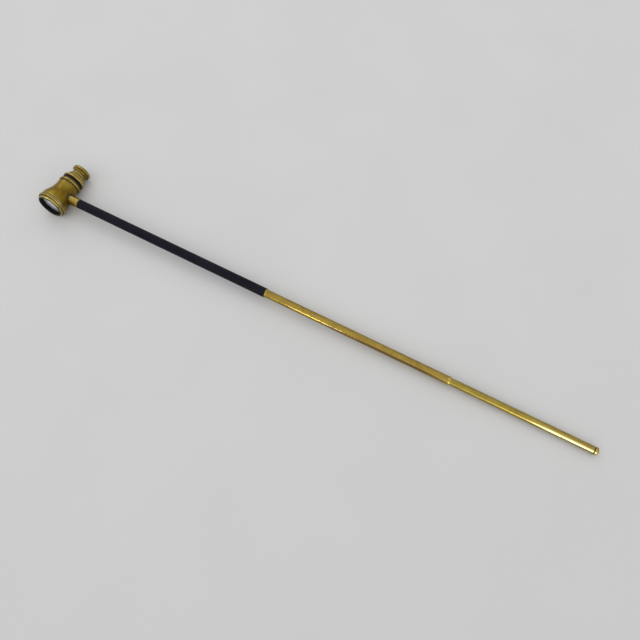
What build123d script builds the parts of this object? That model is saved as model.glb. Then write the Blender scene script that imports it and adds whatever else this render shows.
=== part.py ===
from build123d import *
import os
from math import asin, atan, cos, degrees, sin, sqrt

# Small monocular on a telescoping stem, lying on a flat surface as it comes to rest: on two
# rims of its head and the stem's end button.  Millimetres.
#
# Every piece is turned.  The head's pieces turn about +Y, with stations counted from the
# crossing of the head's axis and the stem's axis: the objective is at negative stations and
# the eye at positive ones.  The stem's pieces turn about +X, from the same crossing.
# Threads are drawn as plain cylinders at the radius where the two halves meet.

# ---- Fits ----
RUNNING = 0.03  # radial clearance of a piece that slides in another
FACE_GAP = 0.1  # air between a piece in a tube's mouth and the stop or spring behind it
CEMENT = 0.02  # cement between the two halves of the objective

# ---- Barrel ----
SHOULDER_STATION = -11.4  # where the barrel meets the bezel ring
SHOULDER_R = 15.4
WAIST_STATION = 8.2
WAIST_R = 11.5
OGEE_SHARE = 0.38  # share of the way from shoulder to waist where the curve turns over
BARREL_REAR = 13.6  # shoulder that the guide ring seats on
REAR_RISE = 0.45  # how much wider the barrel's rear end is than its waist
BARREL_WALL = 1.0  # at the waist, the thinnest place
BELL_BORE_END = -6.0  # where the straight front bore starts to close in
FRONT_SPIGOT_LENGTH = 3.8
FRONT_SPIGOT_R = 14.6
REAR_SPIGOT_LENGTH = 2.7
REAR_SPIGOT_INSET = 0.2  # how far the rear thread stands in from the waist

# ---- Bezel ring ----
BEZEL_FRONT = -18.6
BEZEL_BAND_R = 14.3
BEZEL_BAND_LENGTH = 1.4
BEZEL_BEAD_STATION = -15.0
BEZEL_BEAD_TOP_R = 16.2
BEZEL_BEAD_HALF = 0.8  # half the bead's width, and its height
REAR_BEAD_STATION = -13.1
REAR_BEAD_TOP_R = 15.95
REAR_BEAD_HALF = 0.55

# ---- Objective cell, its doublet and the retainer ----
CELL_PROUD = 0.3  # how far the cell stands out of the bezel ring
CELL_FLANGE_R = 13.9
CELL_BODY_R = 13.5
CELL_REAR = -9.0
CELL_LIP_ROUND = 0.25
OBJECTIVE_R = 12.8
OBJECTIVE_SEAT_WIDTH = 0.5  # ledge that the doublet's rim rests against
OBJECTIVE_RIM_STATION = -14.2  # front edge of the doublet's rim
CROWN_FRONT_CURVE = 55.0
CROWN_REAR_CURVE = 45.0
CROWN_RIM = 1.0
DOUBLET_RIM = 3.9
RETAINER_THICKNESS = 1.0
RETAINER_WIDTH = 1.2

# ---- Rear guide ring and its felt ----
GUIDE_BEAD_STATION = 15.5
GUIDE_BEAD_PROUD = 1.1  # this and the next two: how much wider than the waist
GUIDE_BEAD_HALF = 0.95
GUIDE_GROOVE_PROUD = 0.1
GUIDE_BAND_PROUD = 0.4
GUIDE_REAR = 18.0
GUIDE_CHAMFER = 0.3
FELT_THICKNESS = 0.6

# ---- Focusing draw ----
DRAW_R = 10.2
DRAW_WALL = 0.6
DRAW_FRONT = 0.0
DRAW_STOP_LENGTH = 2.5
DRAW_STOP_WEB = 1.0  # thickness of the stop ring's inward lip
DRAW_STOP_LIP = 1.4  # how far the lip stands in from the draw's outside
COLLAR_GAP = 0.4  # air between the guide ring and the collar as it lies
COLLAR_LENGTH = 3.6
COLLAR_R = 11.6
COLLAR_ROUND = 0.25

# ---- Eyepiece body ----
EYEPIECE_RIM_R = 12.2
EYEPIECE_RIM_LENGTH = 1.2
EYEPIECE_RIM_ROUND = 0.3
TUBE_SEAT_DEPTH = 2.4
CONE_STEP = 0.2  # step down from the rim to the cone
CONE_END_STATION = 28.0
CONE_END_R = 9.5
CONE_SAG = 0.35  # hollow of the cone's side
CONE_GROOVE_WIDTH = 0.5
CONE_GROOVE_DEPTH = 0.45
NECK_R = 7.6
NECK_BEAD_STATION = 30.6
NECK_BEAD_HALF = 0.55
EYEPIECE_REAR = 31.9
EYEPIECE_BORE_R = 7.8
EYE_TENON_R = 5.6
EYE_TENON_LENGTH = 1.4
EYE_LENS_R = 5.2
EYE_LENS_RIM = 3.0
EYE_LENS_CURVE = 20.0
EYE_APERTURE_R = 4.2
EYE_LEDGE = 1.2  # ledge behind the eye lens
EYE_RETAINER_THICKNESS = 0.7
EYE_RETAINER_WIDTH = 0.8

# ---- Eye cup ----
CUP_WAIST_R = 6.8
CUP_WAIST_LENGTH = 0.6
CUP_FLARE_STATION = 35.6
CUP_FLOOR_THICKNESS = 0.5
CUP_RIM_STATION = 36.9
CUP_RIM_R = 10.2
CUP_RIM_ROLL = 0.3  # how much the rim's two edges are rolled down
CUP_REAR = 38.6
CUP_MOUTH_R = 9.2
CUP_FLOOR_R = 4.9
CUP_DISH_SAG = 0.9

# ---- Stem: socket, spigot and three telescoping tubes ----
SOCKET_END = 24.8
SOCKET_PROUD = 0.2  # how much wider than the outer tube
SOCKET_CHAMFER = 0.3
SPIGOT_R = 3.5
SPIGOT_LENGTH = 9.0
SPIGOT_END_GAP = 0.5  # air past the spigot's end in its blind hole
PLUG_LENGTH = 5.0
TUBE_WALL = 0.25
INNER_TUBE_R = 4.0
TUBE_STEP = 0.5  # how much each tube is wider than the one that slides in it
OUTER_TUBE_LENGTH = 235.0
MIDDLE_TUBE_SHOWS = 203.8  # length drawn out of the outer tube's mouth
INNER_TUBE_SHOWS = 146.4  # length drawn out of the middle tube's mouth
MIDDLE_OVERLAP = 25.0  # length of the middle tube that stays inside
INNER_OVERLAP = 28.0  # length of the inner tube that stays inside
FERRULE_NOSE = 9.8
OUTER_FERRULE_LIP = 1.2
OUTER_FERRULE_INSET = 0.1  # how far its ring's crown stands in from the tube's outside
OUTER_FERRULE_CROWN = 0.12  # how much lower the ring is at its two faces
COLLAR_RING_LENGTH = 2.8
COLLAR_RING_PROUD = 0.4  # how far the ring's crown stands out from the tube
COLLAR_RING_EDGE_PROUD = 0.05  # at the ring's two faces
STOP_LENGTH = 4.0
SPRING_LENGTH = 8.0
SPRING_SLOTS = 3
SPRING_SLOT_WIDTH = 0.8
SPRING_GAP = 1.0  # between a tube's spring sleeve and its stop ring

# ---- End button ----
BUTTON_SHANK = 8.0
BUTTON_NECK_LENGTH = 1.2
BUTTON_NECK_INSET = 0.45  # how far the neck stands in from the inner tube's outside
BUTTON_PROUD = 0.1  # how far the button stands out from it
BUTTON_LENGTH = 4.3
BUTTON_ROUND = 0.4  # at its shoulder
BUTTON_EDGE_ROUND = 1.6  # between its side and its dome
BUTTON_DOME_CURVE = 5.2

# ---- Sizes that follow from those above ----
spigot_front = SHOULDER_STATION - FRONT_SPIGOT_LENGTH
spigot_rear = BARREL_REAR + REAR_SPIGOT_LENGTH
barrel_bore_r = WAIST_R - BARREL_WALL
rear_spigot_r = WAIST_R - REAR_SPIGOT_INSET
guide_bead_top_r = WAIST_R + GUIDE_BEAD_PROUD
guide_band_r = WAIST_R + GUIDE_BAND_PROUD
cell_front = BEZEL_FRONT - CELL_PROUD
cell_bore_r = OBJECTIVE_R - OBJECTIVE_SEAT_WIDTH
doublet_rear = OBJECTIVE_RIM_STATION + DOUBLET_RIM
felt_rear = spigot_rear + FELT_THICKNESS
draw_bore_r = DRAW_R + RUNNING
draw_stop_bore_r = DRAW_R - DRAW_STOP_LIP
collar_front = GUIDE_REAR + COLLAR_GAP
eyepiece_front = collar_front + COLLAR_LENGTH
draw_rear = eyepiece_front + TUBE_SEAT_DEPTH
eye_ledge_front = EYEPIECE_REAR - EYE_LEDGE
eye_lens_front = eye_ledge_front - EYE_LENS_RIM
eye_retainer_front = eye_lens_front - EYE_RETAINER_THICKNESS
tenon_rear = EYEPIECE_REAR + EYE_TENON_LENGTH

middle_tube_r = INNER_TUBE_R + TUBE_STEP
outer_tube_r = middle_tube_r + TUBE_STEP
socket_r = outer_tube_r + SOCKET_PROUD
button_r = INNER_TUBE_R + BUTTON_PROUD
outer_tube_end = SOCKET_END + OUTER_TUBE_LENGTH
outer_mouth = outer_tube_end + OUTER_FERRULE_LIP
outer_nose = outer_tube_end - FERRULE_NOSE
plug_end = SOCKET_END + PLUG_LENGTH
middle_tube_start = outer_mouth - MIDDLE_OVERLAP
middle_tube_end = outer_mouth + MIDDLE_TUBE_SHOWS
middle_mouth = middle_tube_end + COLLAR_RING_LENGTH
middle_nose = middle_tube_end - FERRULE_NOSE
inner_tube_start = middle_mouth - INNER_OVERLAP
inner_tube_end = middle_mouth + INNER_TUBE_SHOWS
button_start = inner_tube_end + BUTTON_NECK_LENGTH
button_end = button_start + BUTTON_LENGTH
dome_lean = asin((button_r - BUTTON_EDGE_ROUND) / (BUTTON_DOME_CURVE - BUTTON_EDGE_ROUND))
dome_join_r = BUTTON_DOME_CURVE * sin(dome_lean)
dome_station = button_end - BUTTON_DOME_CURVE + (BUTTON_DOME_CURVE - BUTTON_EDGE_ROUND) * cos(dome_lean)

# How it lies: on the bezel's bead and the first rim behind it that reaches the surface as
# the head tips back, with the stem dropped onto its button.
rear_rims = [
    (GUIDE_BEAD_STATION, guide_bead_top_r),
    (eyepiece_front + EYEPIECE_RIM_LENGTH, EYEPIECE_RIM_R),
    (CUP_RIM_STATION, CUP_RIM_R),
]
head_tilt = min(
    atan((BEZEL_BEAD_TOP_R - radius) / (station - BEZEL_BEAD_STATION))
    for station, radius in rear_rims
)
axis_height = BEZEL_BEAD_TOP_R * cos(head_tilt) + BEZEL_BEAD_STATION * sin(head_tilt)
stem_slope = asin((axis_height - button_r) / dome_station)


def lay(shape):
    """Turn a shape from the axes its pieces are drawn on to the way the object lies."""
    return Rot(Y=degrees(stem_slope)) * Rot(X=-degrees(head_tilt)) * shape


def head(station, radius):
    """A point of an outline that turns about the head's axis."""
    return (radius, station)


def stem(station, radius):
    """A point of an outline that turns about the stem's axis."""
    return (station, radius)


TO_EYE = head(1, 0)
TO_OBJECTIVE = head(-1, 0)


def turned(axis, *curves):
    """Turn the closed outline that the curves make about an axis."""
    edges = [edge for curve in curves for edge in curve.edges()]
    return revolve(make_face(edges), axis)


def ring(axis_point, axis, start, end, inner_r, outer_r):
    """A plain ring with square edges."""
    corners = [(start, inner_r), (start, outer_r), (end, outer_r), (end, inner_r)]
    return turned(axis, Polyline(*[axis_point(*corner) for corner in corners], close=True))


def head_ring(start, end, inner_r, outer_r):
    return ring(head, Axis.Y, start, end, inner_r, outer_r)


def stem_ring(start, end, inner_r, outer_r):
    return ring(stem, Axis.X, start, end, inner_r, outer_r)


def bead(axis_point, station, top_r, half):
    """A half-round bead of an outline, half as high as it is wide."""
    return ThreePointArc(
        axis_point(station - half, top_r - half),
        axis_point(station, top_r),
        axis_point(station + half, top_r - half),
    )


def sag(radius, curve):
    """How far a surface of the given curve stands in at a radius from its middle."""
    return curve - sqrt(curve**2 - radius**2)


def glass_arc(rim_station, rim_r, curve):
    """Half a lens surface, from its rim to the axis; a positive curve bulges to the front."""
    depth = sag(rim_r, abs(curve)) * (1 if curve > 0 else -1)
    half_depth = sag(rim_r / 2, abs(curve)) * (1 if curve > 0 else -1)
    return ThreePointArc(
        head(rim_station, rim_r),
        head(rim_station - depth + half_depth, rim_r / 2),
        head(rim_station - depth, 0),
    )


def lens(front_station, rear_station, rim_r, front_curve, rear_curve):
    """A lens with a cylindrical rim; rear_curve is None for a flat back."""
    front = glass_arc(front_station, rim_r, front_curve)
    if rear_curve is None:
        rear = Line(head(rear_station, rim_r), head(rear_station, 0))
    else:
        rear = glass_arc(rear_station, rim_r, rear_curve)
    rim = Line(head(front_station, rim_r), head(rear_station, rim_r))
    middle = Line(front @ 1, rear @ 1)
    return turned(Axis.Y, front, rim, rear, middle)


def barrel_outside():
    """The barrel's ogee, from its front shoulder to its rear shoulder."""
    shoulder = head(SHOULDER_STATION, SHOULDER_R)
    waist = head(WAIST_STATION, WAIST_R)
    turn = head(
        SHOULDER_STATION + OGEE_SHARE * (WAIST_STATION - SHOULDER_STATION),
        SHOULDER_R + OGEE_SHARE * (WAIST_R - SHOULDER_R),
    )
    return [
        TangentArc(shoulder, turn, tangent=TO_EYE),
        TangentArc(waist, turn, tangent=TO_OBJECTIVE),
        TangentArc(waist, head(BARREL_REAR, WAIST_R + REAR_RISE), tangent=TO_EYE),
    ]


def make_barrel():
    front = Polyline(
        head(spigot_front, CELL_BODY_R),
        head(spigot_front, FRONT_SPIGOT_R),
        head(SHOULDER_STATION, FRONT_SPIGOT_R),
        head(SHOULDER_STATION, SHOULDER_R),
    )
    rear = Polyline(
        head(BARREL_REAR, WAIST_R + REAR_RISE),
        head(BARREL_REAR, rear_spigot_r),
        head(spigot_rear, rear_spigot_r),
        head(spigot_rear, barrel_bore_r),
        head(WAIST_STATION, barrel_bore_r),
    )
    bell = TangentArc(
        head(WAIST_STATION, barrel_bore_r),
        head(BELL_BORE_END, CELL_BODY_R),
        tangent=TO_OBJECTIVE,
    )
    bore = Line(head(BELL_BORE_END, CELL_BODY_R), head(spigot_front, CELL_BODY_R))
    return turned(Axis.Y, front, *barrel_outside(), rear, bell, bore)


def make_bezel_ring():
    band_end = BEZEL_FRONT + BEZEL_BAND_LENGTH
    front_bead = bead(head, BEZEL_BEAD_STATION, BEZEL_BEAD_TOP_R, BEZEL_BEAD_HALF)
    rear_bead = bead(head, REAR_BEAD_STATION, REAR_BEAD_TOP_R, REAR_BEAD_HALF)
    cove = TangentArc(head(band_end, BEZEL_BAND_R), front_bead @ 0, tangent=TO_EYE)
    front = Polyline(
        head(spigot_front, CELL_FLANGE_R),
        head(BEZEL_FRONT, CELL_FLANGE_R),
        head(BEZEL_FRONT, BEZEL_BAND_R),
        head(band_end, BEZEL_BAND_R),
    )
    between = Line(front_bead @ 1, rear_bead @ 0)
    back = Polyline(
        rear_bead @ 1,
        head(SHOULDER_STATION, SHOULDER_R),
        head(SHOULDER_STATION, FRONT_SPIGOT_R),
        head(spigot_front, FRONT_SPIGOT_R),
        head(spigot_front, CELL_FLANGE_R),
    )
    return turned(Axis.Y, front, cove, front_bead, between, rear_bead, back)


def make_objective_cell():
    ledge = sag(OBJECTIVE_R, CROWN_FRONT_CURVE) - sag(cell_bore_r, CROWN_FRONT_CURVE)
    seat = OBJECTIVE_RIM_STATION - ledge
    lip = CELL_FLANGE_R - CELL_LIP_ROUND
    rounding = TangentArc(
        head(cell_front, lip),
        head(cell_front + CELL_LIP_ROUND, CELL_FLANGE_R),
        tangent=head(0, 1),
    )
    rest = Polyline(
        rounding @ 1,
        head(spigot_front, CELL_FLANGE_R),
        head(spigot_front, CELL_BODY_R),
        head(CELL_REAR, CELL_BODY_R),
        head(CELL_REAR, OBJECTIVE_R),
        head(seat, OBJECTIVE_R),
        head(seat, cell_bore_r),
        head(cell_front, cell_bore_r),
        head(cell_front, lip),
    )
    return turned(Axis.Y, rounding, rest)


def make_guide_ring():
    round_bead = bead(head, GUIDE_BEAD_STATION, guide_bead_top_r, GUIDE_BEAD_HALF)
    bead_end = GUIDE_BEAD_STATION + GUIDE_BEAD_HALF
    front = Polyline(
        head(BARREL_REAR, rear_spigot_r),
        head(BARREL_REAR, WAIST_R + GUIDE_GROOVE_PROUD),
        round_bead @ 0,
    )
    back = Polyline(
        round_bead @ 1,
        head(bead_end, guide_band_r),
        head(GUIDE_REAR - GUIDE_CHAMFER, guide_band_r),
        head(GUIDE_REAR, guide_band_r - GUIDE_CHAMFER),
        head(GUIDE_REAR, draw_bore_r),
        head(felt_rear, draw_bore_r),
        head(felt_rear, rear_spigot_r),
        head(BARREL_REAR, rear_spigot_r),
    )
    return turned(Axis.Y, front, round_bead, back)


def make_draw_stop():
    """A sleeve on the draw's front end with a lip that also trims stray light."""
    stop_r = barrel_bore_r - RUNNING
    lip_front = DRAW_FRONT - DRAW_STOP_WEB
    return turned(
        Axis.Y,
        Polyline(
            head(lip_front, draw_stop_bore_r),
            head(lip_front, stop_r),
            head(lip_front + DRAW_STOP_LENGTH, stop_r),
            head(lip_front + DRAW_STOP_LENGTH, DRAW_R),
            head(DRAW_FRONT, DRAW_R),
            head(DRAW_FRONT, draw_stop_bore_r),
            close=True,
        ),
    )


def make_collar():
    """A ring with both outer edges rounded."""
    front_round = TangentArc(
        head(collar_front, COLLAR_R - COLLAR_ROUND),
        head(collar_front + COLLAR_ROUND, COLLAR_R),
        tangent=head(0, 1),
    )
    rear_round = TangentArc(
        head(eyepiece_front - COLLAR_ROUND, COLLAR_R),
        head(eyepiece_front, COLLAR_R - COLLAR_ROUND),
        tangent=TO_EYE,
    )
    top = Line(front_round @ 1, rear_round @ 0)
    bore = Polyline(
        rear_round @ 1,
        head(eyepiece_front, DRAW_R),
        head(collar_front, DRAW_R),
        front_round @ 0,
    )
    return turned(Axis.Y, front_round, top, rear_round, bore)


def make_eyepiece_body():
    rim_end = eyepiece_front + EYEPIECE_RIM_LENGTH
    rim_round = TangentArc(
        head(eyepiece_front, EYEPIECE_RIM_R - EYEPIECE_RIM_ROUND),
        head(eyepiece_front + EYEPIECE_RIM_ROUND, EYEPIECE_RIM_R),
        tangent=head(0, 1),
    )
    rim = Polyline(
        rim_round @ 1,
        head(rim_end, EYEPIECE_RIM_R),
        head(rim_end, EYEPIECE_RIM_R - CONE_STEP),
    )
    cone = SagittaArc(rim @ 1, head(CONE_END_STATION, CONE_END_R), CONE_SAG)
    groove_floor = CONE_END_R - CONE_GROOVE_DEPTH
    groove_end = CONE_END_STATION + CONE_GROOVE_WIDTH
    neck_bead = bead(head, NECK_BEAD_STATION, NECK_R + NECK_BEAD_HALF, NECK_BEAD_HALF)
    slope = Polyline(
        cone @ 1,
        head(CONE_END_STATION, groove_floor),
        head(groove_end, groove_floor),
        head(groove_end, CONE_END_R - CONE_GROOVE_DEPTH / 2),
        neck_bead @ 0,
    )
    inside = Polyline(
        neck_bead @ 1,
        head(EYEPIECE_REAR, NECK_R),
        head(EYEPIECE_REAR, EYE_TENON_R),
        head(tenon_rear, EYE_TENON_R),
        head(tenon_rear, EYE_APERTURE_R),
        head(eye_ledge_front, EYE_APERTURE_R),
        head(eye_ledge_front, EYE_LENS_R),
        head(eye_retainer_front, EYE_LENS_R),
        head(eye_retainer_front, EYEPIECE_BORE_R),
        head(draw_rear, EYEPIECE_BORE_R),
        head(draw_rear, DRAW_R),
        head(eyepiece_front, DRAW_R),
        rim_round @ 0,
    )
    return turned(Axis.Y, rim_round, rim, cone, slope, neck_bead, inside)


def make_eye_cup():
    waist_end = EYEPIECE_REAR + CUP_WAIST_LENGTH
    floor = tenon_rear + CUP_FLOOR_THICKNESS
    edge_r = CUP_RIM_R - CUP_RIM_ROLL
    start = Polyline(
        head(EYEPIECE_REAR, EYE_TENON_R),
        head(EYEPIECE_REAR, CUP_WAIST_R),
        head(waist_end, CUP_WAIST_R),
    )
    flare = TangentArc(start @ 1, head(CUP_FLARE_STATION, edge_r), tangent=TO_EYE)
    rim = ThreePointArc(
        flare @ 1,
        head(CUP_RIM_STATION, CUP_RIM_R),
        head(CUP_REAR, edge_r),
    )
    lip = Line(rim @ 1, head(CUP_REAR, CUP_MOUTH_R))
    dish = SagittaArc(lip @ 1, head(floor, CUP_FLOOR_R), CUP_DISH_SAG)
    bottom = Polyline(
        dish @ 1,
        head(tenon_rear, CUP_FLOOR_R),
        head(tenon_rear, EYE_TENON_R),
        head(EYEPIECE_REAR, EYE_TENON_R),
    )
    return turned(Axis.Y, start, flare, rim, lip, dish, bottom)


def make_socket():
    """A stub whose end is cut to sit on the barrel's curve."""
    stub = stem_ring(0, SOCKET_END, 0, socket_r)
    stub = chamfer(stub.edges().group_by(Axis.X)[-1], SOCKET_CHAMFER)
    sides = Polyline(
        head(BARREL_REAR, WAIST_R + REAR_RISE),
        head(BARREL_REAR, 0),
        head(SHOULDER_STATION, 0),
        head(SHOULDER_STATION, SHOULDER_R),
    )
    barrel_core = turned(Axis.Y, *barrel_outside(), sides)
    hole = stem_ring(SOCKET_END - SPIGOT_LENGTH, SOCKET_END, 0, SPIGOT_R)
    return stub - barrel_core - hole


def make_spigot():
    """Screws into the socket; its wider half is soldered in the end of the outer tube."""
    thread = stem_ring(SOCKET_END - SPIGOT_LENGTH + SPIGOT_END_GAP, SOCKET_END, 0, SPIGOT_R)
    return thread + stem_ring(SOCKET_END, plug_end, 0, outer_tube_r - TUBE_WALL)


def make_ferrule(tube_end, tube_r, outside):
    """Mouth of a tube: a nose inside it and a ring, given by its outside, on its end."""
    bore_r = tube_r - TUBE_STEP + RUNNING
    nose_r = tube_r - TUBE_WALL
    mouth = outside @ 1
    return turned(
        Axis.X,
        outside,
        Polyline(
            mouth,
            stem(mouth.X, bore_r),
            stem(tube_end - FERRULE_NOSE, bore_r),
            stem(tube_end - FERRULE_NOSE, nose_r),
            stem(tube_end, nose_r),
            outside @ 0,
        ),
    )


def make_outer_ferrule():
    """A short crowned ring on the tube's end."""
    crown_r = outer_tube_r - OUTER_FERRULE_INSET
    return make_ferrule(
        outer_tube_end,
        outer_tube_r,
        ThreePointArc(
            stem(outer_tube_end, crown_r - OUTER_FERRULE_CROWN),
            stem(outer_tube_end + OUTER_FERRULE_LIP / 2, crown_r),
            stem(outer_mouth, crown_r - OUTER_FERRULE_CROWN),
        ),
    )


def make_middle_ferrule():
    """A raised, rounded ring that the thumb finds."""
    return make_ferrule(
        middle_tube_end,
        middle_tube_r,
        ThreePointArc(
            stem(middle_tube_end, middle_tube_r + COLLAR_RING_EDGE_PROUD),
            stem(middle_tube_end + COLLAR_RING_LENGTH / 2, middle_tube_r + COLLAR_RING_PROUD),
            stem(middle_mouth, middle_tube_r + COLLAR_RING_EDGE_PROUD),
        ),
    )


def make_stop(nose_end, tube_r):
    """Ring on a tube's inner end that meets the nose of the ferrule outside it."""
    end = nose_end - FACE_GAP
    return stem_ring(end - STOP_LENGTH, end, tube_r, tube_r + TUBE_STEP - TUBE_WALL - RUNNING)


def make_spring(nose_end, tube_r):
    """Slotted sleeve behind a stop ring that rubs on the tube outside it."""
    end = nose_end - FACE_GAP - STOP_LENGTH - SPRING_GAP
    start = end - SPRING_LENGTH
    outer_r = tube_r + TUBE_STEP - TUBE_WALL - RUNNING
    sleeve = stem_ring(start, end, tube_r, outer_r)
    slot_start = start + SPRING_GAP
    slot = Pos(slot_start + SPRING_LENGTH / 2, 0, outer_r) * Box(
        SPRING_LENGTH, SPRING_SLOT_WIDTH, 2 * TUBE_STEP
    )
    for number in range(SPRING_SLOTS):
        sleeve -= Rot(X=number * 360 / SPRING_SLOTS) * slot
    return sleeve


def make_button():
    """Turned plug with a neck and a domed end."""
    neck = Polyline(
        stem(inner_tube_end - BUTTON_SHANK, 0),
        stem(inner_tube_end - BUTTON_SHANK, INNER_TUBE_R - TUBE_WALL),
        stem(inner_tube_end, INNER_TUBE_R - TUBE_WALL),
        stem(inner_tube_end, INNER_TUBE_R - BUTTON_NECK_INSET),
        stem(button_start, INNER_TUBE_R - BUTTON_NECK_INSET),
        stem(button_start, button_r - BUTTON_ROUND),
    )
    shoulder = TangentArc(
        neck @ 1,
        stem(button_start + BUTTON_ROUND, button_r),
        tangent=stem(0, 1),
    )
    band = Line(shoulder @ 1, stem(dome_station, button_r))
    turn = stem(
        button_end - sag(dome_join_r, BUTTON_DOME_CURVE),
        dome_join_r,
    )
    edge = TangentArc(band @ 1, turn, tangent=stem(1, 0))
    dome = TangentArc(stem(button_end, 0), turn, tangent=stem(0, 1))
    middle = Line(stem(button_end, 0), neck @ 0)
    return turned(Axis.X, neck, shoulder, band, edge, dome, middle)


pieces = {
    "barrel": make_barrel(),
    "bezel_ring": make_bezel_ring(),
    "objective_cell": make_objective_cell(),
    "objective_crown_lens": lens(
        OBJECTIVE_RIM_STATION,
        OBJECTIVE_RIM_STATION + CROWN_RIM,
        OBJECTIVE_R,
        CROWN_FRONT_CURVE,
        -CROWN_REAR_CURVE,
    ),
    "objective_flint_lens": lens(
        OBJECTIVE_RIM_STATION + CROWN_RIM + CEMENT,
        doublet_rear,
        OBJECTIVE_R,
        -CROWN_REAR_CURVE,
        None,
    ),
    "objective_retainer_ring": head_ring(
        doublet_rear, doublet_rear + RETAINER_THICKNESS, OBJECTIVE_R - RETAINER_WIDTH, OBJECTIVE_R
    ),
    "rear_guide_ring": make_guide_ring(),
    "guide_felt": head_ring(spigot_rear, felt_rear, draw_bore_r, rear_spigot_r),
    "draw_tube": head_ring(DRAW_FRONT, draw_rear, DRAW_R - DRAW_WALL, DRAW_R),
    "draw_stop_ring": make_draw_stop(),
    "eyepiece_collar": make_collar(),
    "eyepiece_body": make_eyepiece_body(),
    "eye_lens": lens(
        eye_lens_front, eye_ledge_front, EYE_LENS_R, -EYE_LENS_CURVE, EYE_LENS_CURVE
    ),
    "eye_lens_retainer": head_ring(
        eye_retainer_front, eye_lens_front, EYE_LENS_R - EYE_RETAINER_WIDTH, EYE_LENS_R
    ),
    "eye_cup": make_eye_cup(),
    "handle_socket": make_socket(),
    "handle_spigot": make_spigot(),
    "outer_tube": stem_ring(SOCKET_END, outer_tube_end, outer_tube_r - TUBE_WALL, outer_tube_r),
    "outer_ferrule": make_outer_ferrule(),
    "middle_tube": stem_ring(
        middle_tube_start, middle_tube_end, middle_tube_r - TUBE_WALL, middle_tube_r
    ),
    "middle_stop_ring": make_stop(outer_nose, middle_tube_r),
    "middle_spring_sleeve": make_spring(outer_nose, middle_tube_r),
    "middle_ferrule": make_middle_ferrule(),
    "inner_tube": stem_ring(
        inner_tube_start, inner_tube_end, INNER_TUBE_R - TUBE_WALL, INNER_TUBE_R
    ),
    "inner_stop_ring": make_stop(middle_nose, INNER_TUBE_R),
    "inner_spring_sleeve": make_spring(middle_nose, INNER_TUBE_R),
    "end_button": make_button(),
}

# Stand the laid-out object on z = 0 with its box centred on the origin.
laid = {name: lay(piece) for name, piece in pieces.items()}
boxes = [shape.bounding_box() for shape in laid.values()]
shift = Pos(
    -(min(box.min.X for box in boxes) + max(box.max.X for box in boxes)) / 2,
    -(min(box.min.Y for box in boxes) + max(box.max.Y for box in boxes)) / 2,
    -min(box.min.Z for box in boxes),
)

os.makedirs("parts", exist_ok=True)
for name, shape in laid.items():
    export_step(shift * shape, f"parts/{name}.step")
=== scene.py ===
from math import cos, pi, radians, sin

import bmesh
import bpy
from mathutils import Matrix, Vector

# Small monocular on a telescoping stem, lying on a pale surface.  Metres, in the CAD frame.

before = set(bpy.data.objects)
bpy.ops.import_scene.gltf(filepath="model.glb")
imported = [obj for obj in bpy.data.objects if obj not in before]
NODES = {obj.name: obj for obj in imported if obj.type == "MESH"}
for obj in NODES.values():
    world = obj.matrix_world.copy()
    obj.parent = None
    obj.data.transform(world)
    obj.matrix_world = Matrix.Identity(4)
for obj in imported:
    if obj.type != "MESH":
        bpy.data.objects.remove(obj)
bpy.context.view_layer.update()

# ---- The two axes that everything is turned about, and places along the stem ----
CROSSING = Vector((-0.301619, -0.009600, 0.014554))
HEAD_AXIS = Vector((-0.001764, 0.994562, -0.104128)).normalized()
STEM_AXIS = Vector((0.999857, 0.0, -0.016939)).normalized()
HEAD_SIDE = Vector((0.0, 0.0, 1.0)).cross(HEAD_AXIS).normalized()
STEM_SIDE = Vector((0.0, 1.0, 0.0))
MM = 0.001
SOCKET_R = 5.2  # this and the rest in mm; stations are counted from the crossing
CREVICE_START = 12.2  # the socket is darkened by soiling and painted crevice shade up to here, where it enters the barrel
CREVICE_END = 15.2
SOCKET_END = 24.8
OUTER_TUBE_END = 259.8
BUTTON_NECK = 614.6

CAMERA_AZIMUTH = 27.15
CAMERA_ELEVATION = 66.85
CAMERA_TARGET = Vector((0.02033, -0.00710, 0.0))
CAMERA_DISTANCE = 0.6443
CAMERA_LENS = 34.873

# ---- Light ----
FLOOR_COLOR = (0.67, 0.67, 0.67)
SKY_LEFT = 0.72
SKY_RIGHT = 0.80
SKY_FRONT = 1.15
SKY_OVERHEAD = 0.98
SKY_FRONT_LOW = 0.12
SKY_BACK_LOW_LEFT = 0.16
SKY_BACK_LOW_RIGHT = 0.80
SEEN_SKY = (0.60, 0.60, 0.60)
KEY_DIRECTION = Vector((-0.60, 0.50, 0.62)).normalized()
KEY_DISTANCE = 2.6
KEY_SIZE = 1.4
KEY_POWER = 6.0
WINDOW_Y = -1.13
WINDOWS = [  # name, x from and to, z from and to, power
    ("window_left", -0.27, -0.09, 0.21, 0.29, 1.25),
    ("window_right", 0.20, 0.36, 0.16, 0.46, 0.25),
    ("window_middle_right", 0.36, 0.52, 0.16, 0.52, 0.6),
    ("window_far_right", 0.52, 0.98, 0.16, 0.66, 4.9),
]


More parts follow.
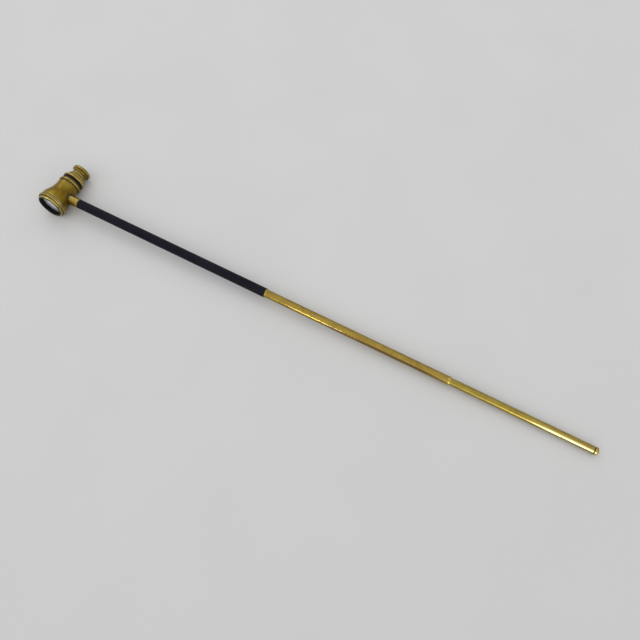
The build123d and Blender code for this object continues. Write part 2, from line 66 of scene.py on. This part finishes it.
# ---------------------------------------------------------------- node helpers
class Nodes:
    """A material's node tree, with one short method for each kind of node used here."""

    def __init__(self, name):
        self.material = bpy.data.materials.new(name)
        self.material.use_nodes = True
        self.tree = self.material.node_tree
        self.tree.nodes.clear()
        output = self.tree.nodes.new("ShaderNodeOutputMaterial")
        self.shader = self.tree.nodes.new("ShaderNodeBsdfPrincipled")
        self.link(self.shader.outputs[0], output.inputs["Surface"])
        self.coordinate = self.tree.nodes.new("ShaderNodeTexCoord")
        self.place = self.coordinate.outputs["Object"]
        self.normal = self.coordinate.outputs["Normal"]

    def link(self, source, target):
        self.tree.links.new(source, target)

    def fill(self, socket, value):
        if isinstance(value, bpy.types.NodeSocket):
            self.link(value, socket)
        else:
            socket.default_value = value

    def math(self, operation, a, b=0.0, clamp=False):
        node = self.tree.nodes.new("ShaderNodeMath")
        node.operation = operation
        node.use_clamp = clamp
        for socket, value in zip(node.inputs, (a, b)):
            self.fill(socket, value)
        return node.outputs[0]

    def vector(self, operation, a, b=(0, 0, 0), scale=1.0):
        node = self.tree.nodes.new("ShaderNodeVectorMath")
        node.operation = operation
        self.fill(node.inputs[0], a)
        self.fill(node.inputs[1], b)
        if operation == "SCALE":
            self.fill(node.inputs["Scale"], scale)
        return node.outputs["Value"] if operation in ("DOT_PRODUCT", "LENGTH") else node.outputs[0]

    def noise(self, place, scale, detail=4.0, roughness=0.55, distortion=0.0):
        node = self.tree.nodes.new("ShaderNodeTexNoise")
        self.link(place, node.inputs["Vector"])
        node.inputs["Scale"].default_value = scale
        node.inputs["Detail"].default_value = detail
        node.inputs["Roughness"].default_value = roughness
        node.inputs["Distortion"].default_value = distortion
        return node.outputs["Fac"]

    def ramp(self, factor, *stops):
        """A color ramp: stops are (position, color)."""
        node = self.tree.nodes.new("ShaderNodeValToRGB")
        self.fill(node.inputs[0], factor)
        elements = node.color_ramp.elements
        while len(elements) < len(stops):
            elements.new(0.5)
        for element, (position, color) in zip(elements, stops):
            element.position = position
            element.color = (*color, 1.0)
        return node.outputs["Color"]

    def span(self, value, low, high, to_low=0.0, to_high=1.0):
        """value from low..high to to_low..to_high, clamped and eased at both ends."""
        node = self.tree.nodes.new("ShaderNodeMapRange")
        node.interpolation_type = "SMOOTHSTEP"
        for socket, number in zip(node.inputs, (value, low, high, to_low, to_high)):
            self.fill(socket, number)
        return node.outputs[0]

    def mix(self, factor, a, b):
        node = self.tree.nodes.new("ShaderNodeMix")
        node.data_type = "RGBA"
        self.fill(node.inputs[0], factor)
        self.fill(node.inputs[6], (*a, 1.0) if isinstance(a, tuple) else a)
        self.fill(node.inputs[7], (*b, 1.0) if isinstance(b, tuple) else b)
        return node.outputs[2]

    def bump(self, height, distance, strength=1.0):
        node = self.tree.nodes.new("ShaderNodeBump")
        node.inputs["Strength"].default_value = strength
        node.inputs["Distance"].default_value = distance
        self.link(height, node.inputs["Height"])
        return node.outputs[0]

    def turned(self, axis, side):
        """Where a point is round an axis through the crossing: station, radius, angle, facing."""
        across = axis.cross(side).normalized()
        offset = self.vector("SUBTRACT", self.place, tuple(CROSSING))
        station = self.vector("DOT_PRODUCT", offset, tuple(axis))
        along = self.vector("SCALE", tuple(axis), scale=station)
        radial = self.vector("SUBTRACT", offset, along)
        radius = self.vector("LENGTH", radial)
        angle = self.math(
            "ARCTAN2",
            self.vector("DOT_PRODUCT", radial, tuple(side)),
            self.vector("DOT_PRODUCT", radial, tuple(across)),
        )
        outward = self.vector("NORMALIZE", radial)
        facing = self.vector("DOT_PRODUCT", self.normal, outward)
        return {
            "station": station,
            "along": along,
            "radial": radial,
            "radius": radius,
            "angle": angle,
            "facing": facing,
        }

    def stretched(self, turned, along, around):
        """Texture space squeezed along an axis and round it by separate amounts."""
        return self.vector(
            "ADD",
            self.vector("SCALE", turned["along"], scale=along),
            self.vector("SCALE", turned["radial"], scale=around),
        )

    def band(self, value, middle, half, soft):
        """1 within half of middle, fading to 0 over soft."""
        distance = self.math("ABSOLUTE", self.math("SUBTRACT", value, middle))
        return self.span(distance, half, half + soft, 1.0, 0.0)

    def finish(self, color, roughness, bump, metallic=None):
        self.fill(self.shader.inputs["Base Color"], color)
        self.fill(self.shader.inputs["Roughness"], roughness)
        self.fill(self.shader.inputs["Normal"], bump)
        if metallic is not None:
            self.fill(self.shader.inputs["Metallic"], metallic)
        return self.material


def add_all(nodes, *values):
    total = values[0]
    for value in values[1:]:
        total = nodes.math("ADD", total, value)
    return total


# Rubbed brass, bright enough to paint highlight lines on the beads as well.
RUBBED_BRASS_AND_HIGHLIGHT = (0.74, 0.63, 0.24)
# Dark crust for soiling and painted shade in the head's grooves and crevices.
CRUSTED_DIRT_AND_SHADE = (0.030, 0.017, 0.007)
# Soiling and painted shade in a tube's groove.
GROOVE_DIRT_AND_SHADE = (0.050, 0.022, 0.012)
TURNING_MARKS = (0.25, 0.155, 0.024)
HEAD_SPECKS = (0.12, 0.07, 0.02)
TUBE_SPECKS = (0.16, 0.09, 0.025)
INSIDE_HEAD = (0.012, 0.011, 0.011)
INSIDE_TUBE = (0.05, 0.035, 0.015)
CHIPPED_BRASS = (0.30, 0.21, 0.05)
CELL_LIP = -18.9  # station of the cell's front edge, mm from the crossing
GLASS_RIM = (8.5, 12.6)  # dust and the painted highlight thicken between these radii, mm
GLASS_HEIGHT = (-13.0, 8.5)  # and the painted highlight grows from this low to this high across the glass, mm
EDGE_ANGLE = 50.0  # edges sharper than this, in degrees, stay crisp

# The head's brass from its darkest patches to its lightest: noise value, color.
HEAD_SHADES = [
    (0.36, (0.235, 0.140, 0.016)),
    (0.47, (0.330, 0.222, 0.024)),
    (0.55, (0.380, 0.272, 0.034)),
    (0.68, (0.430, 0.325, 0.055)),
]


def head_brass(name, wear_and_highlights, grime_and_shade, gold, dark_inside=True, foot=True):
    """Old turned brass of the head.  The first two lists are bands (station mm, half mm, soft mm,
    amount): where it is rubbed bright, which also paints highlight lines on the beads, and where
    it is darkened by soiling and painted groove shade.  gold is how much of each color the
    patina leaves.  foot is for pieces darkened by soiling and painted crevice shade round the
    socket's foot; the socket itself has it at its end."""
    n = Nodes(name)
    t = n.turned(HEAD_AXIS, HEAD_SIDE)
    stem = n.turned(STEM_AXIS, STEM_SIDE)
    rings = n.noise(n.stretched(t, 9.0, 0.25), 420.0, 3.0, 0.6)
    broad_rings = n.noise(n.stretched(t, 3.0, 0.12), 300.0, 2.0)
    patches = n.noise(n.place, 95.0, 6.0, 0.62, 0.6)
    cloud = n.noise(n.place, 38.0, 3.0, 0.5)
    specks = n.noise(n.place, 1500.0, 3.0, 0.6)

    # Bands of rubbed bright brass, which also paint highlight lines on the beads.
    worn_and_highlit = None
    for station, half, soft, amount in wear_and_highlights:
        piece = n.math("MULTIPLY", n.band(t["station"], station * MM, half * MM, soft * MM), amount)
        worn_and_highlit = piece if worn_and_highlit is None else n.math("MAXIMUM", worn_and_highlit, piece)
    worn_and_highlit = n.math("MULTIPLY", worn_and_highlit, n.span(patches, 0.30, 0.62, 0.45, 1.0))

    # Darkening round the socket's foot and in the grooves: soiling and painted shade.
    if foot:
        dirt_and_shade = n.band(stem["radius"], SOCKET_R * MM, 0.35 * MM, 1.5 * MM)
        dirt_and_shade = n.math("MULTIPLY", dirt_and_shade, n.span(stem["station"], 0.0, 8.0 * MM, 0.0, 1.0))
    else:
        dirt_and_shade = n.span(stem["station"], CREVICE_START * MM, CREVICE_END * MM, 0.95, 0.0)
    for station, half, soft, amount in grime_and_shade:
        piece = n.math("MULTIPLY", n.band(t["station"], station * MM, half * MM, soft * MM), amount)
        dirt_and_shade = n.math("MAXIMUM", dirt_and_shade, piece)
    dirt_and_shade = n.math("MULTIPLY", dirt_and_shade, n.span(cloud, 0.30, 0.60, 0.70, 1.0))

    tone = n.math("ADD", n.math("MULTIPLY", patches, 0.75), n.math("MULTIPLY", cloud, 0.25))
    color = n.ramp(
        tone,
        *(
            (stop, tuple(channel * share for channel, share in zip(shade, gold)))
            for stop, shade in HEAD_SHADES
        ),
    )
    color = n.mix(n.span(rings, 0.40, 0.62, 0.0, 0.35), color, TURNING_MARKS)
    color = n.mix(n.span(specks, 0.66, 0.74, 0.0, 0.55), color, HEAD_SPECKS)
    color = n.mix(worn_and_highlit, color, RUBBED_BRASS_AND_HIGHLIGHT)
    color = n.mix(dirt_and_shade, color, CRUSTED_DIRT_AND_SHADE)
    roughness = n.span(patches, 0.3, 0.7, 0.46, 0.33)
    roughness = n.math("ADD", roughness, n.span(specks, 0.5, 0.75, 0.0, 0.12))
    roughness = n.math("SUBTRACT", roughness, n.math("MULTIPLY", worn_and_highlit, 0.20))
    roughness = n.math("ADD", roughness, n.math("MULTIPLY", dirt_and_shade, 0.25))
    metallic = n.math("SUBTRACT", 1.0, n.math("MULTIPLY", dirt_and_shade, 0.6))
    height = add_all(
        n,
        n.math("MULTIPLY", rings, 0.5),
        n.math("MULTIPLY", broad_rings, 0.5),
        n.math("MULTIPLY", specks, 0.25),
        n.math("MULTIPLY", patches, 0.4),
    )
    if dark_inside:
        inside = n.span(t["facing"], -0.60, -0.35, 1.0, 0.0)
        color = n.mix(inside, color, INSIDE_HEAD)
        roughness = n.math("ADD", roughness, n.math("MULTIPLY", inside, 0.25))
        metallic = n.math("MULTIPLY", metallic, n.math("SUBTRACT", 1.0, inside))
    return n.finish(color, roughness, n.bump(height, 0.00006, 0.7), metallic)


def tube_brass(
    name,
    light,
    middle,
    dark,
    rough,
    streaks=0.5,
    blotch=0.5,
    painted_reflection=None,
    groove=None,
    axes=(STEM_AXIS, STEM_SIDE),
):
    """Drawn brass tube, rubbed lengthwise by sliding, with brown handling marks.  One long streak
    of painted reflection, dark or bright, can run down its front: angle and half width in
    degrees, station and half length in mm, amount, color.  groove is a groove darkened by
    soiling and painted shade: station and half length in mm."""
    n = Nodes(name)
    t = n.turned(*axes)
    fine = n.noise(n.stretched(t, 0.05, 1.0), 2600.0, 4.0, 0.6)
    broad = n.noise(n.stretched(t, 0.12, 1.0), 420.0, 4.0, 0.55)
    marks = n.noise(n.stretched(t, 0.45, 1.0), 150.0, 6.0, 0.65, 0.8)
    turns = n.noise(n.stretched(t, 6.0, 0.3), 260.0, 3.0, 0.6)
    specks = n.noise(n.place, 1300.0, 3.0, 0.6)
    tone = add_all(
        n,
        n.math("MULTIPLY", marks, 0.55),
        n.math("MULTIPLY", broad, 0.25),
        n.math("MULTIPLY", turns, 0.20),
    )
    color = n.ramp(tone, (0.38, dark), (0.50, middle), (0.64, light))
    color = n.mix(n.span(fine, 0.55, 0.72, 0.0, streaks), color, dark)
    color = n.mix(n.span(specks, 0.67, 0.76, 0.0, blotch), color, TUBE_SPECKS)
    # Painted reflection: one long dark or bright streak down the tube's front.
    if painted_reflection:
        angle, half_width, station, half_length, amount, shade = painted_reflection
        across = n.band(t["angle"], radians(angle), radians(half_width), radians(14))
        along = n.band(t["station"], station * MM, half_length * MM, 35.0 * MM)
        mark = n.math("MULTIPLY", n.math("MULTIPLY", across, along), amount)
        mark = n.math("MULTIPLY", mark, n.span(broad, 0.30, 0.55, 0.6, 1.0))
        color = n.mix(mark, color, shade)
    # The groove is darkened by soiling and painted shade.
    if groove:
        station, half_length = groove
        dirt_and_shade = n.band(t["station"], station * MM, half_length * MM, 0.15 * MM)
        color = n.mix(dirt_and_shade, color, GROOVE_DIRT_AND_SHADE)
    low, high = rough
    roughness = n.span(marks, 0.32, 0.68, high, low)
    roughness = n.math("ADD", roughness, n.span(fine, 0.45, 0.7, 0.0, 0.06))
    height = add_all(
        n,
        n.math("MULTIPLY", fine, 0.6),
        n.math("MULTIPLY", turns, 0.15),
        n.math("MULTIPLY", specks, 0.2),
    )
    inside = n.span(t["facing"], -0.60, -0.35, 1.0, 0.0)
    color = n.mix(inside, color, INSIDE_TUBE)
    n.shader.inputs["Coat Weight"].default_value = 0.9
    n.shader.inputs["Coat Roughness"].default_value = 0.06
    return n.finish(color, roughness, n.bump(height, 0.00003, 0.5), 1.0)


def japanning():
    """Satin black lacquer with fine rubs and a few chipped points at the tube's ends."""
    n = Nodes("black_japanning")
    t = n.turned(STEM_AXIS, STEM_SIDE)
    rubs = n.noise(n.stretched(t, 0.06, 1.0), 1500.0, 4.0, 0.6)
    cloud = n.noise(n.stretched(t, 0.5, 1.0), 90.0, 5.0, 0.6)
    grain = n.noise(n.place, 2200.0, 2.0, 0.5)
    ends = n.math(
        "MAXIMUM",
        n.span(t["station"], SOCKET_END * MM, (SOCKET_END + 1.4) * MM, 1.0, 0.0),
        n.span(t["station"], (OUTER_TUBE_END - 1.2) * MM, OUTER_TUBE_END * MM, 0.0, 1.0),
    )
    chips = n.math("MULTIPLY", ends, n.span(grain, 0.52, 0.60, 0.0, 1.0))
    color = n.ramp(cloud, (0.35, (0.0070, 0.0072, 0.0115)), (0.65, (0.0120, 0.0120, 0.0180)))
    color = n.mix(n.span(rubs, 0.62, 0.80, 0.0, 0.4), color, (0.022, 0.022, 0.028))
    color = n.mix(chips, color, CHIPPED_BRASS)
    roughness = n.math("ADD", n.span(cloud, 0.3, 0.7, 0.42, 0.54), n.span(rubs, 0.5, 0.8, 0.0, 0.08))
    height = n.math("ADD", n.math("MULTIPLY", grain, 0.6), n.math("MULTIPLY", rubs, 0.6))
    n.shader.inputs["Specular IOR Level"].default_value = 0.06
    return n.finish(color, roughness, n.bump(height, 0.00003, 0.6), n.math("MULTIPLY", chips, 0.9))


def lacquer():
    """Matte black of the objective cell, rubbed grey along its front lip."""
    n = Nodes("black_lacquer")
    t = n.turned(HEAD_AXIS, HEAD_SIDE)
    rings = n.noise(n.stretched(t, 6.0, 0.3), 500.0, 3.0)
    spots = n.noise(n.place, 420.0, 5.0, 0.6)
    lip = n.math("MULTIPLY", n.band(t["station"], CELL_LIP * MM, 0.12 * MM, 0.2 * MM), 0.5)
    lip = n.math("MULTIPLY", lip, n.span(spots, 0.40, 0.62))
    color = n.ramp(spots, (0.35, (0.005, 0.005, 0.006)), (0.65, (0.011, 0.011, 0.012)))
    color = n.mix(lip, color, (0.14, 0.11, 0.06))
    roughness = n.span(spots, 0.3, 0.7, 0.42, 0.58)
    height = n.math("ADD", n.math("MULTIPLY", rings, 0.6), n.math("MULTIPLY", spots, 0.4))
    n.shader.inputs["Specular IOR Level"].default_value = 0.15
    return n.finish(color, roughness, n.bump(height, 0.00004, 0.6), n.math("MULTIPLY", lip, 0.8))


def ebonite():
    """Hard rubber gone faintly brown, with turning marks."""
    n = Nodes("black_ebonite")
    t = n.turned(HEAD_AXIS, HEAD_SIDE)
    rings = n.noise(n.stretched(t, 7.0, 0.2), 450.0, 3.0, 0.6)
    cloud = n.noise(n.place, 210.0, 5.0, 0.6)
    color = n.ramp(
        cloud,
        (0.32, (0.0095, 0.0045, 0.0042)),
        (0.55, (0.0180, 0.0080, 0.0066)),
        (0.72, (0.0320, 0.0170, 0.0130)),
    )
    roughness = n.span(cloud, 0.3, 0.7, 0.36, 0.52)
    height = n.math("ADD", rings, n.math("MULTIPLY", cloud, 0.3))
    n.shader.inputs["Specular IOR Level"].default_value = 0.12
    return n.finish(color, roughness, n.bump(height, 0.00005, 0.6))


def felt():
    n = Nodes("felt")
    fibres = n.noise(n.place, 2500.0, 6.0, 0.75, 1.5)
    color = n.ramp(fibres, (0.30, (0.045, 0.008, 0.012)), (0.70, (0.16, 0.035, 0.045)))
    n.shader.inputs["Sheen Weight"].default_value = 0.5
    return n.finish(color, n.span(fibres, 0.2, 0.8, 0.85, 1.0), n.bump(fibres, 0.0002, 0.8))


def glass(name, haze_and_highlight):
    """Old lens: clear, with dust in fine wipe marks and specks, gathering towards its top rim as a pale
    film that is also a painted highlight.
    """
    n = Nodes(name)
    t = n.turned(HEAD_AXIS, HEAD_SIDE)
    up = n.vector("DOT_PRODUCT", t["radial"], (0.45, 0.0, 0.89))
    dust = n.noise(n.place, 700.0, 6.0, 0.65)
    wipes = n.noise(n.stretched(t, 1.0, 1.0), 260.0, 4.0, 0.6, 2.5)
    # Painted highlight: the glass turns paler and less clear towards its top and its rim, on top of the
    # dust.
    rim = n.span(t["radius"], *(radius * MM for radius in GLASS_RIM))
    painted_highlight_top = n.span(up, *(height * MM for height in GLASS_HEIGHT))
    dust_and_highlight = add_all(
        n,
        n.math("MULTIPLY", painted_highlight_top, 0.70),
        n.math("MULTIPLY", n.math("MULTIPLY", rim, painted_highlight_top), 0.38),
        n.math("MULTIPLY", n.span(wipes, 0.42, 0.66), 0.14),
        n.math("MULTIPLY", n.span(dust, 0.50, 0.70), 0.12),
    )
    dust_and_highlight = n.math("MULTIPLY", dust_and_highlight, haze_and_highlight, clamp=True)
    color = n.mix(dust_and_highlight, (0.90, 0.92, 0.97), (0.86, 0.87, 0.90))
    n.shader.inputs["IOR"].default_value = 1.52
    n.fill(n.shader.inputs["Transmission Weight"], n.math("SUBTRACT", 1.0, dust_and_highlight))
    return n.finish(color, n.span(dust_and_highlight, 0.0, 0.8, 0.02, 0.22), n.bump(wipes, 0.00001, 0.3))


def assign(material, *names):
    for name in names:
        slots = NODES[name].data.materials
        slots.clear()
        slots.append(material)


def smooth_shading():
    """Smooth the turned faces and keep their edges crisp."""
    for node in NODES.values():
        modifier = node.modifiers.new("round", "EDGE_SPLIT")
        modifier.split_angle = radians(EDGE_ANGLE)
        for polygon in node.data.polygons:
            polygon.use_smooth = True


# ---------------------------------------------------------------- materials
assign(
    head_brass(
        "brass_barrel",
        wear_and_highlights=[(-11.3, 0.25, 0.5, 0.45), (8.2, 2.5, 4.0, 0.06)],
        grime_and_shade=[(13.55, 0.10, 0.45, 0.85), (-11.4, 0.05, 0.20, 0.7)],
        gold=(0.64, 0.60, 0.45),
    ),
    "barrel",
)
assign(
    head_brass(
        "brass_bezel",
        wear_and_highlights=[
            (-15.1, 0.16, 0.28, 0.95),
            (-13.2, 0.12, 0.22, 0.75),
            (-18.5, 0.15, 0.30, 1.0),
            (-17.6, 0.5, 0.6, 0.40),
        ],
        grime_and_shade=[
            (-13.95, 0.14, 0.35, 0.95),
            (-12.2, 0.2, 0.4, 0.8),
            (-16.1, 0.15, 0.4, 0.8),
            (-14.55, 0.1, 0.2, 0.45),
        ],
        gold=(0.76, 0.74, 0.62),
    ),
    "bezel_ring",
)
assign(
    head_brass(
        "brass_guide",
        wear_and_highlights=[(15.6, 0.16, 0.22, 1.0), (17.8, 0.12, 0.2, 0.7)],
        grime_and_shade=[(13.9, 0.35, 0.45, 0.95), (16.75, 0.15, 0.3, 0.85), (14.9, 0.1, 0.2, 0.5)],
        gold=(0.76, 0.74, 0.62),
    ),
    "rear_guide_ring",
)
assign(
    head_brass(
        "brass_eyepiece",
        wear_and_highlights=[
            (22.5, 0.25, 0.3, 0.75),
            (24.6, 0.12, 0.22, 0.45),
            (26.2, 0.12, 0.22, 0.55),
            (27.7, 0.15, 0.2, 0.75),
            (30.6, 0.2, 0.3, 0.90),
        ],
        grime_and_shade=[
            (23.4, 0.12, 0.25, 0.75),
            (25.4, 0.10, 0.25, 0.50),
            (27.1, 0.10, 0.22, 0.50),
            (28.25, 0.25, 0.25, 0.95),
            (31.6, 0.2, 0.4, 0.9),
        ],
        gold=(1.00, 0.95, 0.80),
    ),
    "eyepiece_body",
)
assign(
    head_brass(
        "brass_cup",
        wear_and_highlights=[(36.7, 0.2, 0.4, 0.50), (38.5, 0.15, 0.25, 0.9), (32.6, 0.15, 0.2, 0.55)],
        grime_and_shade=[(32.0, 0.15, 0.3, 0.9), (33.4, 0.4, 0.8, 0.70), (37.6, 0.3, 0.4, 0.55)],
        dark_inside=False,
        gold=(0.78, 0.75, 0.75),
    ),
    "eye_cup",
)
assign(
    head_brass(
        "brass_socket",
        wear_and_highlights=[(-1.0, 1.6, 2.6, 0.22)],
        grime_and_shade=[],
        dark_inside=False,
        gold=(0.64, 0.60, 0.48),
        foot=False,
    ),
    "handle_socket",
)
assign(
    tube_brass(
        "brass_middle",
        light=(0.38, 0.272, 0.028),
        middle=(0.31, 0.204, 0.011),
        dark=(0.23, 0.137, 0.007),
        rough=(0.13, 0.17),
        # Painted dark reflection along the middle tube's lower front.
        painted_reflection=(-60, 12, 395, 45, 0.85, (0.13, 0.060, 0.006)),
    ),
    "middle_tube",
    "handle_spigot",
)
assign(
    tube_brass(
        "brass_draw",
        light=(0.45, 0.330, 0.045),
        middle=(0.37, 0.250, 0.020),
        dark=(0.27, 0.160, 0.010),
        rough=(0.18, 0.28),
        streaks=0.4,
        axes=(HEAD_AXIS, HEAD_SIDE),
    ),
    "draw_tube",
    "draw_stop_ring",
)
assign(
    tube_brass(
        "brass_inner",
        light=(0.39, 0.310, 0.038),
        middle=(0.30, 0.213, 0.011),
        dark=(0.22, 0.147, 0.008),
        rough=(0.10, 0.17),
        streaks=0.35,
        blotch=0.35,
        # Painted highlight near the tip of the inner tube.
        painted_reflection=(-42, 16, 600, 25, 0.70, (0.80, 0.72, 0.28)),
    ),
    "inner_tube",
    "inner_stop_ring",
    "inner_spring_sleeve",
    "middle_stop_ring",
    "middle_spring_sleeve",
)
assign(
    tube_brass(
        "brass_ferrule",
        light=(0.50, 0.40, 0.09),
        middle=(0.42, 0.30, 0.04),
        dark=(0.26, 0.15, 0.02),
        rough=(0.18, 0.30),
    ),
    "outer_ferrule",
    "middle_ferrule",
)
assign(
    tube_brass(
        "brass_button",
        light=(0.50, 0.40, 0.09),
        middle=(0.42, 0.30, 0.04),
        dark=(0.26, 0.15, 0.02),
        rough=(0.18, 0.30),
        groove=(BUTTON_NECK, 0.55),
    ),
    "end_button",
)
assign(japanning(), "outer_tube")
assign(lacquer(), "objective_cell", "objective_retainer_ring", "eye_lens_retainer")
assign(ebonite(), "eyepiece_collar")
assign(felt(), "guide_felt")
assign(glass("glass_objective", 1.0), "objective_crown_lens")
assign(glass("glass_inner", 0.35), "objective_flint_lens", "eye_lens")
smooth_shading()


# ---------------------------------------------------------------- floor
def make_floor():
    """A wide sheet, flat under the object, that rises gently far behind every side."""
    mesh = bpy.data.meshes.new("floor")
    build = bmesh.new()
    rings, spokes, reach = 40, 72, 6.0
    flat, crowding, steepness = 3.0, 1.6, 0.22
    centre = build.verts.new((0, 0, 0))
    previous = None
    for ring in range(1, rings + 1):
        radius = reach * (ring / rings) ** crowding
        lift = max(0.0, radius - flat) ** 2 * steepness
        row = [
            build.verts.new((radius * cos(2 * pi * k / spokes), radius * sin(2 * pi * k / spokes), lift))
            for k in range(spokes)
        ]
        for k in range(spokes):
            after = (k + 1) % spokes
            if previous is None:
                build.faces.new((centre, row[k], row[after]))
            else:
                build.faces.new((previous[k], row[k], row[after], previous[after]))
        previous = row
    build.to_mesh(mesh)
    build.free()
    floor = bpy.data.objects.new("floor", mesh)
    bpy.context.scene.collection.objects.link(floor)
    for polygon in mesh.polygons:
        polygon.use_smooth = True
    n = Nodes("floor")
    paper = n.noise(n.place, 9.0, 4.0, 0.5)
    fibre = n.noise(n.place, 900.0, 3.0, 0.6)
    color = n.mix(n.span(paper, 0.3, 0.7), FLOOR_COLOR, tuple(0.975 * c for c in FLOOR_COLOR))
    # Painted shade: the sheet is a little darker towards the front right, under the tip of the stem.
    painted_falloff_shade = n.span(n.vector("DOT_PRODUCT", n.place, (0.7, -0.7, 0.0)), -0.15, 0.55)
    color = n.mix(painted_falloff_shade, color, tuple(0.96 * c for c in FLOOR_COLOR))
    n.shader.inputs["Specular IOR Level"].default_value = 0.15
    mesh.materials.append(n.finish(color, n.span(paper, 0.3, 0.7, 0.75, 0.9), n.bump(fibre, 0.00004, 0.3)))


make_floor()


# ---------------------------------------------------------------- light
def make_key():
    """A soft square panel high up behind the object on its left, facing it."""
    data = bpy.data.lights.new("key", "AREA")
    data.shape = "RECTANGLE"
    data.size, data.size_y = KEY_SIZE, KEY_SIZE
    data.energy = KEY_POWER
    lamp = bpy.data.objects.new("key", data)
    lamp.location = KEY_DIRECTION * KEY_DISTANCE
    lamp.rotation_euler = KEY_DIRECTION.to_track_quat("Z", "Y").to_euler()
    lamp.visible_camera = False
    bpy.context.scene.collection.objects.link(lamp)


def make_window(name, x_low, x_high, z_low, z_high, power):
    """An upright panel low down in front of the object.  Its tubes mirror it, and it
    throws no light on the floor."""
    data = bpy.data.lights.new(name, "AREA")
    data.shape = "RECTANGLE"
    data.size, data.size_y = x_high - x_low, z_high - z_low
    data.energy = power
    lamp = bpy.data.objects.new(name, data)
    lamp.location = ((x_low + x_high) / 2, WINDOW_Y, (z_low + z_high) / 2)
    lamp.rotation_euler = (radians(90), 0, 0)
    lamp.visible_camera = False
    lamp.visible_diffuse = False
    bpy.context.scene.collection.objects.link(lamp)


def make_world():
    """Even and soft, brightest in front and overhead, and dark low down in front and on the
    left.  The camera sees plain grey."""
    world = bpy.data.worlds.new("studio")
    bpy.context.scene.world = world
    world.use_nodes = True
    tree = world.node_tree
    tree.nodes.clear()
    coordinate = tree.nodes.new("ShaderNodeTexCoord")
    split = tree.nodes.new("ShaderNodeSeparateXYZ")
    tree.links.new(coordinate.outputs["Generated"], split.inputs[0])

    def between(value, low, high, to_low, to_high):
        node = tree.nodes.new("ShaderNodeMapRange")
        node.interpolation_type = "SMOOTHSTEP"
        tree.links.new(value, node.inputs[0])
        for socket, number in zip(node.inputs[1:5], (low, high, to_low, to_high)):
            if isinstance(number, bpy.types.NodeSocket):
                tree.links.new(number, socket)
            else:
                socket.default_value = number
        return node.outputs[0]

    side = between(split.outputs["X"], -0.95, 0.95, SKY_LEFT, SKY_RIGHT)
    behind = between(split.outputs["Y"], -0.7, 0.1, SKY_FRONT, side)
    high = between(split.outputs["Z"], 0.62, 1.0, behind, SKY_OVERHEAD)
    back = between(split.outputs["X"], -0.90, 0.90, SKY_BACK_LOW_LEFT, SKY_BACK_LOW_RIGHT)
    low = between(split.outputs["Y"], -0.5, 0.3, SKY_FRONT_LOW, back)
    level = between(split.outputs["Z"], 0.16, 0.46, low, high)
    lit = tree.nodes.new("ShaderNodeBackground")
    tree.links.new(level, lit.inputs["Strength"])
    lit.inputs["Color"].default_value = (1.0, 1.0, 1.0, 1.0)
    seen = tree.nodes.new("ShaderNodeBackground")
    seen.inputs["Color"].default_value = (*SEEN_SKY, 1)
    ray = tree.nodes.new("ShaderNodeLightPath")
    pick = tree.nodes.new("ShaderNodeMixShader")
    output = tree.nodes.new("ShaderNodeOutputWorld")
    tree.links.new(ray.outputs["Is Camera Ray"], pick.inputs[0])
    tree.links.new(lit.outputs[0], pick.inputs[1])
    tree.links.new(seen.outputs[0], pick.inputs[2])
    tree.links.new(pick.outputs[0], output.inputs["Surface"])


make_world()
make_key()
for window in WINDOWS:
    make_window(*window)


# ---------------------------------------------------------------- camera
def make_camera():
    data = bpy.data.cameras.new("camera")
    data.lens = CAMERA_LENS
    data.sensor_width = 36.0
    data.clip_start, data.clip_end = 0.01, 50.0
    camera = bpy.data.objects.new("camera", data)
    azimuth, elevation = radians(CAMERA_AZIMUTH), radians(CAMERA_ELEVATION)
    back = Vector((sin(azimuth) * cos(elevation), -cos(azimuth) * cos(elevation), sin(elevation)))
    right = Vector((cos(azimuth), sin(azimuth), 0))
    up = back.cross(right)
    turn = Matrix((right, up, back)).transposed().to_4x4()
    camera.matrix_world = Matrix.Translation(CAMERA_TARGET + back * CAMERA_DISTANCE) @ turn
    bpy.context.scene.collection.objects.link(camera)
    bpy.context.scene.camera = camera


make_camera()
bpy.context.scene.view_settings.view_transform = "Standard"
bpy.context.scene.view_settings.look = "None"
